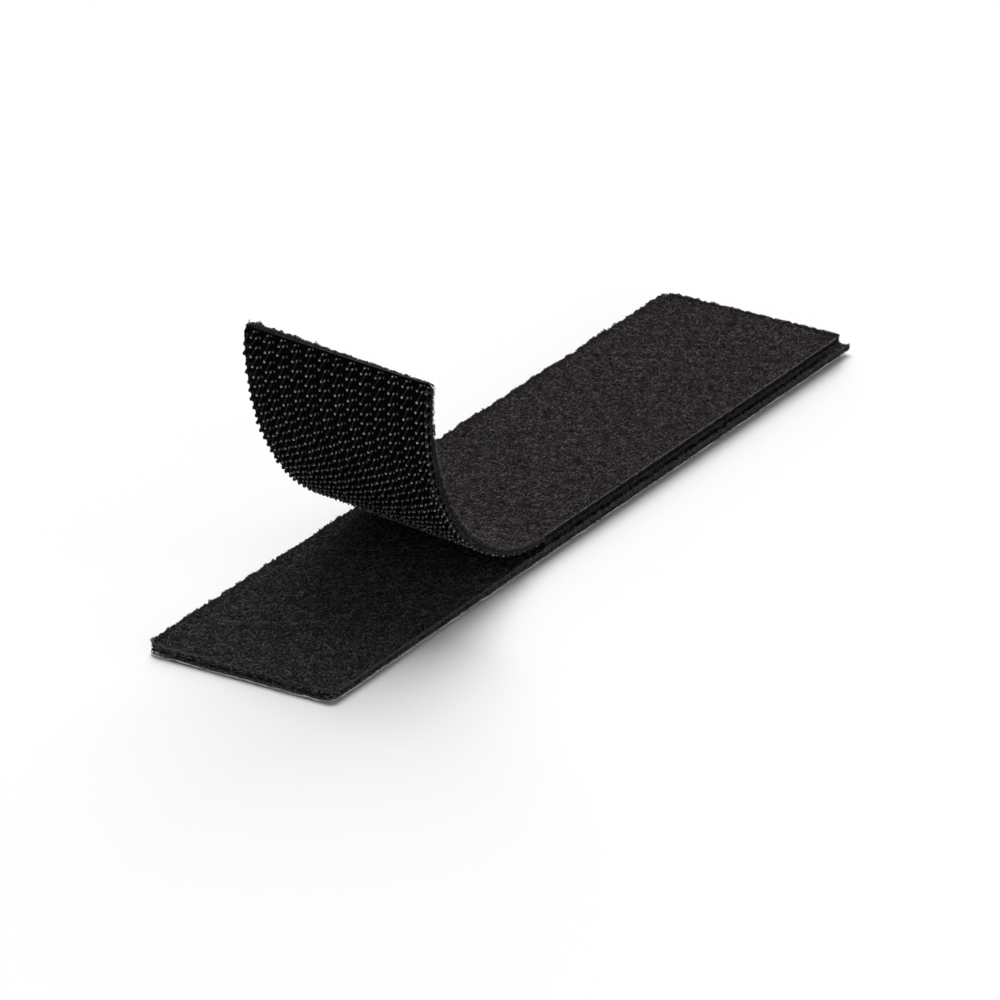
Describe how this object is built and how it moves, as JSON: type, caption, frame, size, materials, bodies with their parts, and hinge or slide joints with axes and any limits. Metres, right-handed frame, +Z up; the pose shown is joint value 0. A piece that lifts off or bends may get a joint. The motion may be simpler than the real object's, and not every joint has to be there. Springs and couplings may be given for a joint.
{
  "type": "hook and loop tape strips",
  "caption": "Two black strips of back-to-back hook and loop tape, closed on each other, with the near end of the upper strip peeled off into a curl; the end flexes and the strip lifts off.",
  "frame": {"origin": "on the ground, under the middle of the lower strip", "axes": "+X along the strips towards the closed far end, +Y across the tape, +Z up from the hook side to the loop side"},
  "size_m": [0.1174, 0.025, 0.0336],
  "materials": {
    "loop_pile": "matte brushed pile",
    "bond_film": "satin",
    "hook_cloth": "woven cloth with glossy filament hooks"
  },
  "bodies": {
    "lower_strip": {"lower_loop_tape": "loop_pile", "lower_bond_film": "bond_film", "lower_hook_tape": "hook_cloth"},
    "upper_strip": {"upper_loop_tape": "loop_pile", "upper_bond_film": "bond_film", "upper_hook_tape": "hook_cloth"},
    "tab_1": {"tab_1_loop_tape": "loop_pile", "tab_1_bond_film": "bond_film", "tab_1_hook_tape": "hook_cloth"},
    "tab_2": {"tab_2_loop_tape": "loop_pile", "tab_2_bond_film": "bond_film", "tab_2_hook_tape": "hook_cloth"},
    "tab_3": {"tab_3_loop_tape": "loop_pile", "tab_3_bond_film": "bond_film", "tab_3_hook_tape": "hook_cloth"},
    "tab_4": {"tab_4_loop_tape": "loop_pile", "tab_4_bond_film": "bond_film", "tab_4_hook_tape": "hook_cloth"},
    "tab_5": {"tab_5_loop_tape": "loop_pile", "tab_5_bond_film": "bond_film", "tab_5_hook_tape": "hook_cloth"},
    "tab_6": {"tab_6_loop_tape": "loop_pile", "tab_6_bond_film": "bond_film", "tab_6_hook_tape": "hook_cloth"}
  },
  "joints": [
    {"name": "strip_lift", "type": "slide", "parent": "lower_strip", "child": "upper_strip", "axis": [0, 0, 1], "range_m": [0, 0.03]},
    {"name": "tab_flex_1", "type": "hinge", "parent": "upper_strip", "child": "tab_1", "pos_m": [-0.01435, 0, 0.0032], "axis": [0.1783, 0.984, 0.0021], "range_deg": [-15.4, 12.5]},
    {"name": "tab_flex_2", "type": "hinge", "parent": "tab_1", "child": "tab_2", "pos_m": [-0.02157, 0, 0.00524], "axis": [0.1211, 0.9925, 0.0187], "range_deg": [-15.4, 12.5]},
    {"name": "tab_flex_3", "type": "hinge", "parent": "tab_2", "child": "tab_3", "pos_m": [-0.02796, 0, 0.00917], "axis": [0.0693, 0.9963, 0.0509], "range_deg": [-15.4, 12.5]},
    {"name": "tab_flex_4", "type": "hinge", "parent": "tab_3", "child": "tab_4", "pos_m": [-0.03304, 0, 0.01469], "axis": [0.0278, 0.995, 0.0959], "range_deg": [-15.4, 12.5]},
    {"name": "tab_flex_5", "type": "hinge", "parent": "tab_4", "child": "tab_5", "pos_m": [-0.03642, 0, 0.02138], "axis": [0.0001, 0.9887, 0.1496], "range_deg": [-15.4, 12.5]},
    {"name": "tab_flex_6", "type": "hinge", "parent": "tab_5", "child": "tab_6", "pos_m": [-0.03786, 0, 0.02875], "axis": [-0.0114, 0.9782, 0.2071], "range_deg": [-15.4, 12.5]}
  ],
  "couplings": [
    {"joint": "tab_flex_2", "follows": "tab_flex_1", "ratio": 1},
    {"joint": "tab_flex_3", "follows": "tab_flex_1", "ratio": 1},
    {"joint": "tab_flex_4", "follows": "tab_flex_1", "ratio": 1},
    {"joint": "tab_flex_5", "follows": "tab_flex_1", "ratio": 1},
    {"joint": "tab_flex_6", "follows": "tab_flex_1", "ratio": 1}
  ]
}
